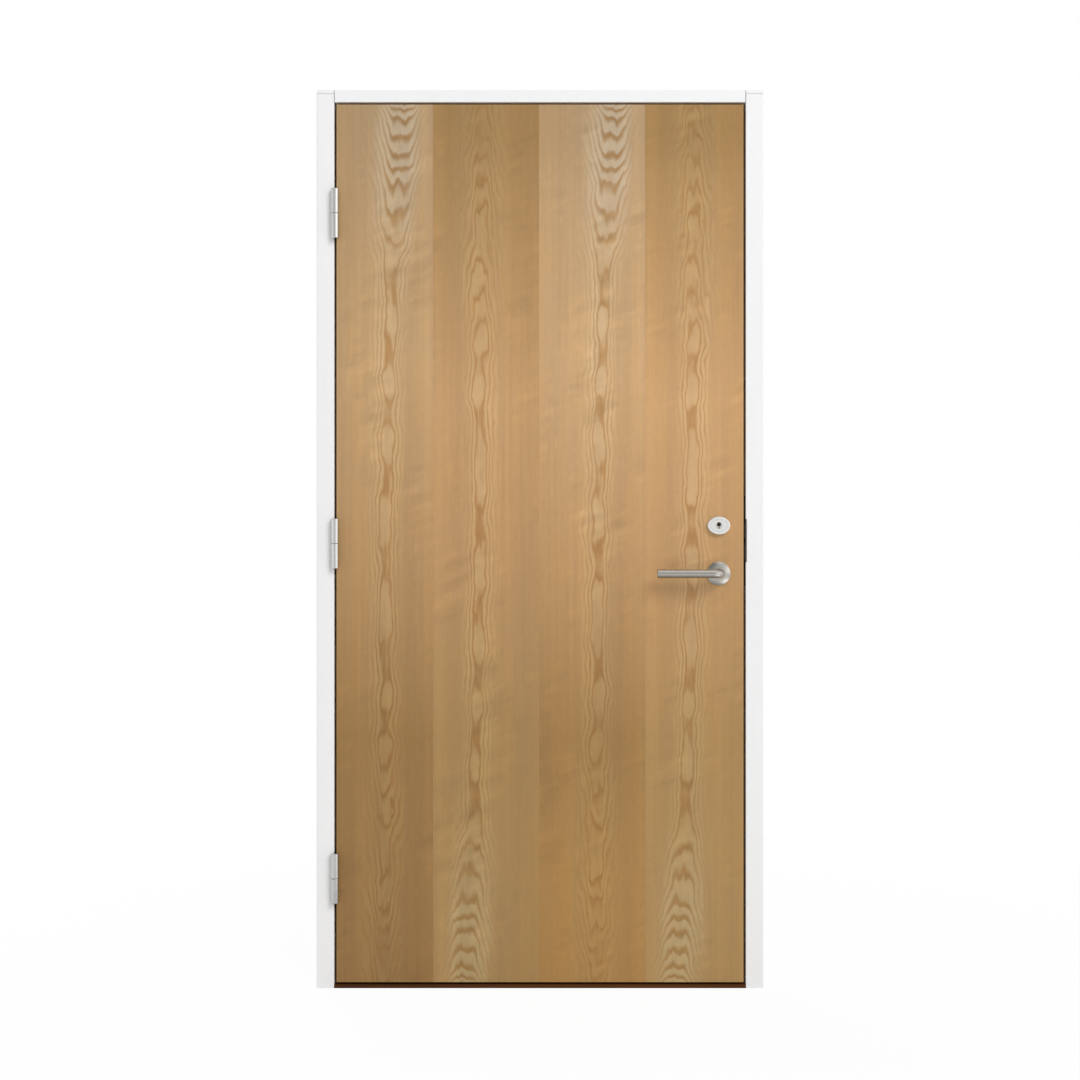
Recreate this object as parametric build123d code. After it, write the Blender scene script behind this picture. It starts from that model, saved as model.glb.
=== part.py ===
from build123d import *
import os
from math import atan, degrees

# A sound-insulating door set, closed, in millimetres.
# X runs from the hinge side to the lock side, Y from the front (pull) side to the back, Z up.
# The origin is the middle of the threshold's underside.

# Timber frame
frame_width = 990.0
frame_height = 1990.0
frame_depth = 92.0
jamb_face = 39.0  # width of a jamb beside the leaf
head_face = 27.0  # height of the head above the leaf
stop_width = 17.0  # how far the stop stands into the doorway from the rebate's side
head_tongue = 8.0  # thickness of the head where it runs over the jambs
arris_round = 2.0
joint_ease = 1.2  # chamfer along the joint between the head and a jamb

# Threshold
step_height = 8.0  # low front part under the leaf
riser_height = 25.0  # part behind the leaf that closes the bottom gap

# Leaf
leaf_gap = 5.0  # open joint between leaf and frame on all four sides
leaf_thickness = 50.0
seal_gap = 4.0  # between the leaf's back and the stop
skin_thickness = 4.0
stile_width = 45.0
rail_height = 60.0
skin_round = 0.8

# Bulb seals let into the stop
seal_width = 8.0
seal_wall = 0.9
seal_margin = 1.5  # between the stop's corner and the bulb
stem_width = 2.6
stem_depth = 5.5
kerf_fit = 0.2
seal_clearance = 0.3  # between the bulb and the leaf
seal_end_clearance = 0.2

# Lift-off hinges
hinge_length = 110.0
barrel_radius = 9.0
barrel_round = 1.2
barrel_split = 0.3  # between the two halves of a barrel
barrel_clearance = 1.0  # between a barrel and the face of the door
hinge_from_bottom = 232.0  # leaf's bottom to the middle of the lowest hinge
middle_hinge_from_bottom = 972.0
hinge_from_top = 243.0
plate_thickness = 2.5
plate_depth = 28.0  # from the front face back into the joint
plate_corner = 6.0
pin_radius = 5.0
pin_grip = 46.0  # how deep the pin stands in the lower barrel
pin_reach = 40.0  # how far it stands into the upper barrel
pin_ease = 1.0
press_clearance = 0.02
running_clearance = 0.05
end_clearance = 0.5
arm_inset = 3.5  # how deep an arm runs into its barrel's wall
screw_hole = 2.6
screw_head = 4.6
screw_pitch = 30.0
screw_rows = 3
screw_setback = 17.0  # from the front face to the line of screws
recess_fit = 0.2

# Lock
backset = 55.5  # from the leaf's edge to the lever's axis
lever_height = 919.0
cylinder_rise = 106.0  # from the lever's axis up to the key's axis
case_height = 165.0
case_depth = 88.0
case_thickness = 15.0
case_below_lever = 30.0
forend_length = 235.0
forend_width = 20.0
forend_thickness = 3.0
forend_end_flat = 1.0  # left straight at the forend's nearly round ends
forend_screw_inset = 13.0
latch_rise = 50.0
latch_height = 30.0
latch_width = 12.0
latch_length = 36.0
latch_nose = 2.5  # flat tip of the latch
latch_slope = 10.5  # how far back its slanted side runs
bolt_rise = 95.0
bolt_height = 26.0
bolt_width = 12.0
bolt_length = 34.0
bolt_clearance = 0.3

# Strike plate in the lock jamb
strike_length = 200.0
strike_width = 30.0
strike_thickness = 2.5
strike_corner = 5.0
strike_lip_length = 95.0
strike_screw_inset = 14.0  # from the plate's end to its screw
pocket_margin = 4.0  # round the latch and the bolt
pocket_depth = 20.0

# Lever handles
lever_radius = 9.5
lever_length = 139.0  # axis to tip
lever_projection = 52.0  # leaf's face to the middle of the grip
lever_bend = 15.0
lever_end_round = 1.5
rose_radius = 26.0
rose_edge = 4.0
rose_height = 9.0
rose_crown = 0.72  # share of the dome's rise that is reached half-way in
rose_bore_clearance = 0.3
spindle_side = 8.0
spindle_socket = 18.0
spindle_fit = 0.05
spindle_hole = 8.0

# Key cylinder and its oval ring
ring_half_width = 25.5
ring_half_height = 20.5
ring_end_radius = 17.0
ring_projection = 12.0
ring_taper = 0.8
ring_round = 1.6
core_half_width = 18.0
core_half_height = 13.5
core_end_radius = 11.0
core_recess = 0.5  # how far the cylinder's face lies behind the ring's
ring_fit = 0.3
plug_radius = 7.5
plug_length = 26.0
keyway_width = 3.0
keyway_height = 9.5
keyway_depth = 22.0
funnel_radius = 5.0  # of the round recess that leads the key in
funnel_floor_radius = 3.6
funnel_depth = 2.5
funnel_rise = 1.6  # from the plug's axis up to the funnel's

# Fixing holes through the jambs
fixing_radius = 7.0
fixing_setback = 26.0  # front face to the holes' axes
fixings_from_foot = (110.0, 610.0)
fixings_from_top = (640.0, 140.0)

cut_over = 1.0  # how far a cut runs past the face that it opens

# Places that follow from the sizes
front = -frame_depth / 2
back = frame_depth / 2
outer_x = frame_width / 2
rebate_x = outer_x - jamb_face
stop_x = rebate_x - stop_width
jamb_top = frame_height - head_tongue
rebate_top = frame_height - head_face
stop_top = rebate_top - stop_width
leaf_x = rebate_x - leaf_gap
leaf_back = front + leaf_thickness
leaf_middle = front + leaf_thickness / 2
leaf_bottom = step_height + leaf_gap
leaf_top = rebate_top - leaf_gap
stop_y = leaf_back + seal_gap
seal_inset = seal_margin + seal_width / 2
hinge_x = -(rebate_x + leaf_x) / 2
hinge_y = front - barrel_clearance - barrel_radius
hinge_heights = {
    "bottom": leaf_bottom + hinge_from_bottom,
    "middle": leaf_bottom + middle_hinge_from_bottom,
    "top": leaf_top - hinge_from_top,
}
lever_x = leaf_x - backset
cylinder_z = lever_height + cylinder_rise
latch_z = lever_height + latch_rise
bolt_z = lever_height + bolt_rise
lock_middle = (latch_z + bolt_z) / 2
forend_x = leaf_x - forend_thickness
case_front = leaf_middle - case_thickness / 2
fixing_heights = fixings_from_foot + tuple(frame_height - drop for drop in fixings_from_top)


def block(x, y, z):
    """A square-edged block between three pairs of faces."""
    pairs = (x, y, z)
    size = [high - low for low, high in pairs]
    centre = [(high + low) / 2 for low, high in pairs]
    return Pos(*centre) * Box(*size)


def rod(radius, x, y, z):
    """A round rod or hole along the door's thickness, from y's first value to its second."""
    low, high = y
    return Pos(x, (low + high) / 2, z) * Rot(90, 0, 0) * Cylinder(radius, high - low)


def oval(half_width, half_height, end_radius):
    """A four-arc oval: tight arcs at its two ends and wide arcs above and below, all tangent."""
    end_centre = half_width - end_radius
    rise = half_height - end_radius
    wide_radius = end_radius + (end_centre**2 + rise**2) / (2 * rise)
    wide_centre = half_height - wide_radius
    lean = Vector(end_centre, -wide_centre).normalized()
    join = Vector(end_centre, 0) + lean * end_radius
    x, y = join.X, join.Y
    outline = ThreePointArc((x, -y), (half_width, 0), (x, y))
    outline += ThreePointArc((x, y), (0, half_height), (-x, y))
    outline += ThreePointArc((-x, y), (-half_width, 0), (-x, -y))
    outline += ThreePointArc((-x, -y), (0, -half_height), (x, -y))
    return make_face(outline)


def oval_rod(half_width, half_height, end_radius, x, y, z):
    """An oval bar along the door's thickness."""
    low, high = y
    plane = Plane((x, low, z), x_dir=(1, 0, 0), z_dir=(0, 1, 0))
    return extrude(plane * oval(half_width, half_height, end_radius), high - low)


def on_the_back(shape):
    """The same fitting on the leaf's other face."""
    return mirror(shape, about=Plane((0, leaf_middle, 0), z_dir=(0, 1, 0)))


def board_section(across, through, arrises):
    """Section of a frame board, rounded along the arrises that are listed."""
    centre = Pos(sum(across) / 2, sum(through) / 2)
    section = centre * Rectangle(abs(across[1] - across[0]), through[1] - through[0])
    corners = [Vector(*arris) for arris in arrises]
    shown = [v for v in section.vertices() if min((Vector(v) - c).length for c in corners) < arris_round]
    return fillet(shown, arris_round)


def post_section(outer, rebate):
    """A frame member beside or above the leaf; the corner that its stop covers stays square."""
    return board_section((outer, rebate), (front, back), ((outer, front), (outer, back), (rebate, front)))


def stop_section(rebate, stop):
    """The stop on that member, behind the leaf."""
    return board_section((rebate, stop), (stop_y, back), ((stop, stop_y), (stop, back)))


def kerf(centre, depth, width):
    """Section of the saw kerf that holds a seal's stem."""
    return Pos(centre, stop_y + depth / 2) * Rectangle(width, depth)


def seal_section(centre):
    """Hollow bulb on a stem, seen along its length, standing on the stop's face."""
    height = seal_gap - seal_clearance
    half = seal_width / 2
    dome = ThreePointArc((-half, 0), (0, -height), (half, 0))
    bulb = make_face(dome + Line((half, 0), (-half, 0)))
    hollow = offset(bulb, -seal_wall)
    stem = Pos(0, stem_depth / 2) * Rectangle(stem_width, stem_depth)
    return Pos(centre, stop_y) * (bulb - hollow + stem)


def upright(section, low, high):
    """Runs a section up from one height to another."""
    return extrude(Pos(0, 0, low) * section, high - low)


def level(section, half_length):
    """Turns a section on its side, its first axis up, and runs it along the door's width."""
    plane = Plane((half_length, 0, 0), x_dir=(0, 0, 1), z_dir=(-1, 0, 0))
    return extrude(plane * section, 2 * half_length)


def jamb_post(side):
    """A jamb before anything is cut into it: side is -1 at the hinges and 1 at the lock."""
    post = upright(post_section(side * outer_x, side * rebate_x), 0, jamb_top)
    top = post.edges().filter_by(Axis.X).group_by(Axis.Z)[-1].group_by(Axis.Y)
    return chamfer(top[0] + top[-1], joint_ease)


def jamb_stop(side):
    groove = kerf(side * (stop_x + seal_inset), stem_depth + kerf_fit, stem_width + 2 * kerf_fit)
    return upright(stop_section(side * rebate_x, side * stop_x) - groove, 0, rebate_top)


def room_of_post(side):
    """What a jamb takes up, with no rounded corners."""
    return block(sorted((side * outer_x, side * rebate_x)), (front, back), (0, jamb_top))


def room_of_stop(side):
    return block(sorted((side * rebate_x, side * stop_x)), (stop_y, back), (0, rebate_top))


def fixing_holes(side):
    holes = None
    for height in fixing_heights:
        place = Pos(side * (outer_x + rebate_x) / 2, front + fixing_setback, height)
        hole = place * Rot(0, 90, 0) * Cylinder(fixing_radius, 2 * jamb_face)
        holes = hole if holes is None else holes + hole
    return holes


def plate_outline(width, length, corner, plane):
    """A plate whose two far corners are rounded: the plane's x runs back from the front edge."""
    sheet = Pos(width / 2, 0) * Rectangle(width, length)
    far = sheet.vertices().group_by(Axis.X)[-1]
    return plane * fillet(far, corner)


def hinge_plate(face_x, inwards, height, grow):
    """A hinge plate let into the edge at face_x, or its recess when grow is the fit round it."""
    plane = Plane((face_x, front, height), x_dir=(0, 1, 0), z_dir=(inwards, 0, 0))
    outline = plate_outline(plate_depth + grow, hinge_length + 2 * grow, plate_corner, plane)
    return extrude(outline, plate_thickness)


def countersink(face_x, inwards, y, z, thickness):
    """A conical screw hole through a plate, wide at face_x."""
    place = Pos(face_x + inwards * thickness / 2, y, z) * Rot(0, 90 * inwards, 0)
    return place * Cone(screw_head, screw_hole, thickness)


def screw_holes(face_x, inwards, height):
    """Countersunk holes down a hinge plate."""
    holes = None
    for row in range(screw_rows):
        z = height + (row - (screw_rows - 1) / 2) * screw_pitch
        hole = countersink(face_x, inwards, front + screw_setback, z, plate_thickness)
        holes = hole if holes is None else holes + hole
    return holes


def end_screws(face_x, inwards, length, inset, thickness):
    """The two screw holes at the ends of a lock plate."""
    reach = length / 2 - inset
    lower = countersink(face_x, inwards, leaf_middle, lock_middle - reach, thickness)
    return lower + countersink(face_x, inwards, leaf_middle, lock_middle + reach, thickness)


def barrel(low, high, bore, bore_low, bore_high):
    """One half of a hinge barrel with the bore for its pin."""
    tube = Pos(hinge_x, hinge_y, (low + high) / 2) * Cylinder(barrel_radius, high - low)
    tube = fillet(tube.edges().filter_by(GeomType.CIRCLE), barrel_round)
    hole = Pos(hinge_x, hinge_y, (bore_low + bore_high) / 2) * Cylinder(bore, bore_high - bore_low)
    return tube - hole


def hinge_arm(x, low, high):
    """The bent end of a plate that runs forward into the barrel's wall."""
    return block(x, (hinge_y + barrel_radius - arm_inset, front), (low, high))


def hinge_frame_half(height):
    low = height - hinge_length / 2
    high = height - barrel_split / 2
    tube = barrel(low, high, pin_radius + press_clearance, height - pin_grip, high)
    plate = hinge_plate(-rebate_x, -1, height, 0)
    arm = hinge_arm((-rebate_x - plate_thickness, -rebate_x), low + barrel_round, high - barrel_round)
    return tube + plate + arm - screw_holes(-rebate_x, -1, height)


def hinge_leaf_half(height):
    low = height + barrel_split / 2
    high = height + hinge_length / 2
    tube = barrel(low, high, pin_radius + running_clearance, low, height + pin_reach + end_clearance)
    plate = hinge_plate(-leaf_x, 1, height, 0)
    arm = hinge_arm((-leaf_x, -leaf_x + plate_thickness), low + barrel_round, high - barrel_round)
    return tube + plate + arm - screw_holes(-leaf_x, 1, height)


def hinge_pin(height):
    length = pin_grip + pin_reach
    pin = Pos(hinge_x, hinge_y, height + (pin_reach - pin_grip) / 2) * Cylinder(pin_radius, length)
    return chamfer(pin.edges().group_by(Axis.Z)[-1], pin_ease)


def hinge_recesses(face_x, inwards):
    cut = None
    for height in hinge_heights.values():
        recess = hinge_plate(face_x, inwards, height, recess_fit)
        cut = recess if cut is None else cut + recess
    return cut


def hinge_jamb():
    return jamb_post(-1) - fixing_holes(-1) - hinge_recesses(-rebate_x, -1)


def strike_hole(centre, width, height, depth):
    half_width = width / 2 + pocket_margin
    half_height = height / 2 + pocket_margin
    reach = (rebate_x - cut_over, rebate_x + strike_thickness + depth)
    side = (leaf_middle - half_width, leaf_middle + half_width)
    return block(reach, side, (centre - half_height, centre + half_height))


def strike_plate_sheet(grow):
    """The strike plate's outline with its lip, or its recess when grow is the fit round it."""
    plane = Plane((rebate_x, leaf_middle, lock_middle), x_dir=(0, 1, 0), z_dir=(1, 0, 0))
    plate = plane * RectangleRounded(strike_width + 2 * grow, strike_length + 2 * grow, strike_corner)
    lip = block(
        (rebate_x, rebate_x + strike_thickness),
        (front, leaf_middle),
        (lock_middle - strike_lip_length / 2 - grow, lock_middle + strike_lip_length / 2 + grow),
    )
    return extrude(plate, strike_thickness) + lip


def strike_plate():
    plate = strike_plate_sheet(0)
    plate -= strike_hole(latch_z, latch_width, latch_height, cut_over)
    plate -= strike_hole(bolt_z, bolt_width, bolt_height, cut_over)
    return plate - end_screws(rebate_x, 1, strike_length, strike_screw_inset, strike_thickness)


def lock_jamb():
    jamb = jamb_post(1) - fixing_holes(1) - strike_plate_sheet(recess_fit)
    jamb -= strike_hole(latch_z, latch_width, latch_height, pocket_depth)
    return jamb - strike_hole(bolt_z, bolt_width, bolt_height, pocket_depth)


def head():
    """Scribed between the jambs, with a thin tongue over their tops."""
    bar = level(post_section(frame_height, rebate_top), outer_x) - room_of_post(-1) - room_of_post(1)
    seats = bar.faces().filter_by(Axis.Z).filter_by_position(Axis.Z, jamb_top, jamb_top)
    ends = bar.faces().filter_by(Axis.X).filter_by_position(Axis.X, -rebate_x, -rebate_x)
    ends += bar.faces().filter_by(Axis.X).filter_by_position(Axis.X, rebate_x, rebate_x)
    edges = (seats.edges().filter_by(Axis.X) + ends.edges().filter_by(Axis.Z)).group_by(Axis.Y)
    return chamfer(edges[0] + edges[-1], joint_ease)


def head_stop():
    groove = kerf(stop_top + seal_inset, stem_depth + kerf_fit, stem_width + 2 * kerf_fit)
    return level(stop_section(rebate_top, stop_top) - groove, stop_x)


def threshold():
    """Low step under the leaf and a riser behind it, notched round the stops."""
    outline = Polyline(
        (0, front), (step_height, front), (step_height, stop_y),
        (riser_height, stop_y), (riser_height, back), (0, back),
        close=True,
    )
    section = make_face(outline)
    top = [v for v in section.vertices() if v.X > step_height or (v.X > 0 and v.Y < stop_y - arris_round)]
    section = fillet(top, arris_round)
    groove = kerf(riser_height - seal_inset, stem_depth + kerf_fit, stem_width + 2 * kerf_fit)
    bar = level(section, rebate_x) - level(groove, rebate_x)
    return bar - room_of_stop(-1) - room_of_stop(1)


def jamb_seal(side):
    return upright(seal_section(side * (stop_x + seal_inset)), leaf_bottom + seal_margin, leaf_top - seal_margin)


def head_seal():
    return level(seal_section(stop_top + seal_inset), stop_x - seal_end_clearance)


def threshold_seal():
    return level(seal_section(riser_height - seal_inset), stop_x - seal_end_clearance)


def skin(low, high, outer):
    """A veneered board with its outer edges eased."""
    board = block((-leaf_x, leaf_x), (low, high), (leaf_bottom, leaf_top))
    return fillet(board.faces().filter_by(Plane.XZ).sort_by(Axis.Y)[outer].edges(), skin_round)


def lever_hole(y):
    return rod(lever_radius + rose_bore_clearance, lever_x, y, lever_height)


def cylinder_hole(y):
    fit = ring_fit
    sizes = (core_half_width + fit, core_half_height + fit, core_end_radius + fit)
    return oval_rod(*sizes, lever_x, y, cylinder_z)


def leaf_front_skin():
    y = (front, front + skin_thickness)
    board = skin(*y, 0) - hinge_recesses(-leaf_x, 1)
    return board - lever_hole(y) - cylinder_hole(y)


def leaf_back_skin():
    y = (leaf_back - skin_thickness, leaf_back)
    return skin(*y, -1) - lever_hole(y) - cylinder_hole(y)


inside = (front + skin_thickness, leaf_back - skin_thickness)
case_z = (lever_height - case_below_lever, lever_height - case_below_lever + case_height)


def lock_case_room():
    """The mortice for the lock case, a little larger than the case."""
    x = (forend_x - case_depth - recess_fit, leaf_x)
    y = (case_front - recess_fit, case_front + case_thickness + recess_fit)
    return block(x, y, (case_z[0] - recess_fit, case_z[1] + recess_fit))


def forend_sheet(grow):
    plane = Plane((forend_x, leaf_middle, lock_middle), x_dir=(0, 1, 0), z_dir=(1, 0, 0))
    corner = (forend_width - forend_end_flat) / 2
    outline = RectangleRounded(forend_width + 2 * grow, forend_length + 2 * grow, corner)
    return extrude(plane * outline, forend_thickness)


def hinge_stile():
    bar = block((-leaf_x, -leaf_x + stile_width), inside, (leaf_bottom, leaf_top))
    return bar - hinge_recesses(-leaf_x, 1)


def lock_stile():
    bar = block((leaf_x - stile_width, leaf_x), inside, (leaf_bottom, leaf_top))
    return bar - forend_sheet(recess_fit) - lock_case_room() - lever_hole(inside) - cylinder_hole(inside)


def rail(low, high):
    return block((-leaf_x + stile_width, leaf_x - stile_width), inside, (low, high))


def acoustic_core():
    x = (-leaf_x + stile_width, leaf_x - stile_width)
    slab = block(x, inside, (leaf_bottom + rail_height, leaf_top - rail_height))
    return slab - lock_case_room() - lever_hole(inside) - cylinder_hole(inside)


def lock_forend():
    plate = forend_sheet(0)
    for height, width, tall in ((latch_z, latch_width, latch_height), (bolt_z, bolt_width, bolt_height)):
        half = width / 2 + bolt_clearance
        z = (height - tall / 2 - bolt_clearance, height + tall / 2 + bolt_clearance)
        x = (forend_x - cut_over, leaf_x + cut_over)
        plate -= block(x, (leaf_middle - half, leaf_middle + half), z)
    return plate - end_screws(leaf_x, -1, forend_length, forend_screw_inset, forend_thickness)


def lock_case():
    y = (case_front, case_front + case_thickness)
    case = block((forend_x - case_depth, forend_x), y, case_z)
    for height, width, tall, length in (
        (latch_z, latch_width, latch_height, latch_length),
        (bolt_z, bolt_width, bolt_height, bolt_length),
    ):
        half = width / 2 + bolt_clearance
        z = (height - tall / 2 - bolt_clearance, height + tall / 2 + bolt_clearance)
        x = (leaf_x - length - bolt_clearance, leaf_x)
        case -= block(x, (leaf_middle - half, leaf_middle + half), z)
    return case - rod(spindle_hole, lever_x, y, lever_height)


def latch_bolt():
    """Slanted on the side that meets the strike plate first as the leaf shuts."""
    low, high = leaf_middle - latch_width / 2, leaf_middle + latch_width / 2
    outline = Polyline(
        (leaf_x - latch_length, low), (leaf_x, low), (leaf_x, low + latch_nose),
        (leaf_x - latch_slope, high), (leaf_x - latch_length, high),
        close=True,
    )
    return upright(make_face(outline), latch_z - latch_height / 2, latch_z + latch_height / 2)


def dead_bolt():
    y = (leaf_middle - bolt_width / 2, leaf_middle + bolt_width / 2)
    return block((leaf_x - bolt_length, leaf_x), y, (bolt_z - bolt_height / 2, bolt_z + bolt_height / 2))


def lever():
    """Round bar bent once: out of the rose, then along the leaf towards the hinges."""
    bar_y = front - lever_projection
    start = Vector(lever_x, front - end_clearance, lever_height)
    corner_out = Vector(lever_x, bar_y + lever_bend, lever_height)
    corner_mid = Vector(lever_x - lever_bend, bar_y + lever_bend, lever_height)
    corner_in = Vector(lever_x - lever_bend, bar_y, lever_height)
    tip = Vector(lever_x - lever_length, bar_y, lever_height)
    diagonal = Vector(1, -1, 0).normalized() * lever_bend
    path = Line(start, corner_out)
    path += ThreePointArc(corner_out, corner_mid + diagonal, corner_in)
    path += Line(corner_in, tip)
    bar = sweep(Plane(start, z_dir=(0, -1, 0)) * Circle(lever_radius), path)
    bar = fillet(bar.edges().group_by(Axis.X)[0], lever_end_round)
    side = spindle_side / 2 + spindle_fit
    y = (front - end_clearance - spindle_socket, front)
    return bar - block((lever_x - side, lever_x + side), y, (lever_height - side, lever_height + side))


def spindle():
    side = spindle_side / 2
    reach = front - spindle_socket
    y = (reach, 2 * leaf_middle - reach)
    return block((lever_x - side, lever_x + side), y, (lever_height - side, lever_height + side))


def rose():
    """A shallow dome with a short straight edge, turned about the lever's axis."""
    bore = lever_radius + rose_bore_clearance
    middle = (rose_radius + bore) / 2
    crown = rose_edge + (rose_height - rose_edge) * rose_crown
    outline = Line((bore, 0), (rose_radius, 0))
    outline += Line((rose_radius, 0), (rose_radius, rose_edge))
    outline += ThreePointArc((rose_radius, rose_edge), (middle, crown), (bore, rose_height))
    outline += Line((bore, rose_height), (bore, 0))
    section = Plane((lever_x, front, lever_height), x_dir=(1, 0, 0), z_dir=(0, 0, 1)) * Rot(180, 0, 0)
    return revolve(section * make_face(outline), Axis((lever_x, 0, lever_height), (0, 1, 0)))


def cylinder_ring():
    """An oval collar that narrows towards its face."""
    plane = Plane((lever_x, front, cylinder_z), x_dir=(1, 0, 0), z_dir=(0, -1, 0))
    foot = plane * oval(ring_half_width, ring_half_height, ring_end_radius)
    collar = extrude(foot, ring_projection, taper=degrees(atan(ring_taper / ring_projection)))
    collar = fillet(collar.edges().group_by(Axis.Y)[0], ring_round)
    return collar - cylinder_hole((front - ring_projection, front))


def key_cylinder():
    """Oval lock cylinder from the ring's face in to the lock case."""
    y = (front - ring_projection + core_recess, case_front)
    body = oval_rod(core_half_width, core_half_height, core_end_radius, lever_x, y, cylinder_z)
    face = front - ring_projection
    bore = rod(plug_radius + running_clearance, lever_x, (face, face + plug_length), cylinder_z)
    return body - bore


def key_funnel(face):
    place = Pos(lever_x, face + funnel_depth / 2, cylinder_z + funnel_rise)
    return place * Rot(90, 0, 0) * Cone(funnel_floor_radius, funnel_radius, funnel_depth)


def key_plug():
    """The part that the key turns, with its keyway and the funnel that guides the key."""
    face = front - ring_projection + core_recess
    y = (face, face + plug_length - 2 * end_clearance)
    plug = rod(plug_radius, lever_x, y, cylinder_z) - key_funnel(face)
    half = keyway_width / 2
    z = (cylinder_z - keyway_height / 2, cylinder_z + keyway_height / 2)
    return plug - block((lever_x - half, lever_x + half), (face - cut_over, face + keyway_depth), z)


nodes = {
    "hinge_jamb": hinge_jamb(),
    "lock_jamb": lock_jamb(),
    "head": head(),
    "hinge_jamb_stop": jamb_stop(-1),
    "lock_jamb_stop": jamb_stop(1),
    "head_stop": head_stop(),
    "threshold": threshold(),
    "hinge_jamb_seal": jamb_seal(-1),
    "lock_jamb_seal": jamb_seal(1),
    "head_seal": head_seal(),
    "threshold_seal": threshold_seal(),
    "strike_plate": strike_plate(),
    "leaf_front_skin": leaf_front_skin(),
    "leaf_back_skin": leaf_back_skin(),
    "hinge_stile": hinge_stile(),
    "lock_stile": lock_stile(),
    "top_rail": rail(leaf_top - rail_height, leaf_top),
    "bottom_rail": rail(leaf_bottom, leaf_bottom + rail_height),
    "acoustic_core": acoustic_core(),
    "lock_forend": lock_forend(),
    "lock_case": lock_case(),
    "latch_bolt": latch_bolt(),
    "dead_bolt": dead_bolt(),
    "spindle": spindle(),
}
for place, height in hinge_heights.items():
    nodes[f"hinge_frame_half_{place}"] = hinge_frame_half(height)
    nodes[f"hinge_leaf_half_{place}"] = hinge_leaf_half(height)
    nodes[f"hinge_pin_{place}"] = hinge_pin(height)
for name, shape in (
    ("lever", lever()),
    ("rose", rose()),
    ("cylinder_ring", cylinder_ring()),
    ("key_cylinder", key_cylinder()),
    ("key_plug", key_plug()),
):
    nodes[f"front_{name}"] = shape
    nodes[f"back_{name}"] = on_the_back(shape)

for name, shape in nodes.items():
    export_step(shape, f"parts/{name}.step")
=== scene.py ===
# %% [markdown]
# # Dressing a sound-insulating door
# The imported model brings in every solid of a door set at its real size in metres: a white frame, a veneered leaf on
# three lift-off hinges, a lever on a round rose and a key cylinder above it. This lesson leaves those solids where
# they are. It gives each one the finish of its real material and adds the small hardware that is too fine for the
# solids, such as screws.

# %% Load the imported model
from math import copysign, cos, radians, sin

import bmesh
import bpy
from mathutils import Matrix, Vector


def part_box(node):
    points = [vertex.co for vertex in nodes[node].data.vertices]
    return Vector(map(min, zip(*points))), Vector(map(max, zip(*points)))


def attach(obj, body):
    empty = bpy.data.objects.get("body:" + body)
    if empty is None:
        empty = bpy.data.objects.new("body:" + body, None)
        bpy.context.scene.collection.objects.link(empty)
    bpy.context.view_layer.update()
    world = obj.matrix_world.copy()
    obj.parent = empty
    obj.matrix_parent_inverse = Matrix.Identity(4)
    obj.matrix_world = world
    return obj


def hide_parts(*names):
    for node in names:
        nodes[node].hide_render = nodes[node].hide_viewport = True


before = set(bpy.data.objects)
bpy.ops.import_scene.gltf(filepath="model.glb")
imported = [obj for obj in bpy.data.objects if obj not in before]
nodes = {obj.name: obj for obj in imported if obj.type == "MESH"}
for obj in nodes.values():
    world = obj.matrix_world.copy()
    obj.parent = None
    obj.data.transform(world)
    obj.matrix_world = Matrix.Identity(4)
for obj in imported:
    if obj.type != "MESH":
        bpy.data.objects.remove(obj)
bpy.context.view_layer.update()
MM = 0.001

# %% [markdown]
# ## The camera
# The reference view looks straight at the door from the pull side, level with the middle of the leaf, and the door's
# sides run nearly parallel. A lens could be guessed and the camera moved until the door fits. It is surer to take
# the width that the picture covers at the door's front face and the distance to it, because their ratio is the lens.

# %% Place the camera
front_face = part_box("hinge_jamb")[0].y
camera_distance = 4.0
width_in_view = 2.393
sight_height = 0.993
camera = bpy.data.cameras.new("camera")
camera.sensor_width = 36.0
camera.lens = camera.sensor_width * camera_distance / width_in_view
camera_object = bpy.data.objects.new("camera", camera)
bpy.context.scene.collection.objects.link(camera_object)
camera_object.location = (0, front_face - camera_distance, sight_height)
camera_object.rotation_euler = (radians(90), 0, 0)
bpy.context.scene.camera = camera_object
bpy.context.scene.view_settings.view_transform = "Standard"
print("lens", round(camera.lens, 1), "mm")

# %% [markdown]
# ## Shader maths in plain Python
# Wood, paint and brushed metal are all patterns worked out from a point's place on the door. In the editor that means
# dozens of Math nodes dragged together by hand. Here one small class wraps a socket, so that an expression such as
# `height * 3 + 1` adds the Math nodes by itself, and a second class adds any other node. The formulas then read like
# formulas.


# %% A socket that can be used in an expression
class Wire:
    """An output socket of a node tree. Arithmetic on it adds Math nodes."""

    def __init__(self, recipe, socket):
        self.recipe, self.socket = recipe, socket

    def math(self, operation, *others):
        inputs = dict(enumerate((self, *others)))
        return self.recipe.node("ShaderNodeMath", {"operation": operation}, inputs)

    def __add__(self, other):
        return self.math("ADD", other)

    def __mul__(self, other):
        return self.math("MULTIPLY", other)

    def __sub__(self, other):
        return self.math("SUBTRACT", other)

    def __rsub__(self, other):
        return self * -1 + other

    def __truediv__(self, other):
        return self.math("DIVIDE", other)

    def __rtruediv__(self, other):
        return self.math("POWER", -1.0) * other

    def __pow__(self, other):
        return self.math("POWER", other)

    def __gt__(self, other):
        return self.math("GREATER_THAN", other)

    __radd__, __rmul__ = __add__, __mul__

    def size(self):
        """The value without its sign."""
        return self.math("ABSOLUTE")

    def step(self, low, high):
        """Goes smoothly from 0 at low to 1 at high, where high may be the smaller of the two."""
        inputs = {"Value": self, "From Min": low, "From Max": high}
        return self.recipe.node("ShaderNodeMapRange", {"interpolation_type": "SMOOTHSTEP"}, inputs)


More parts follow.
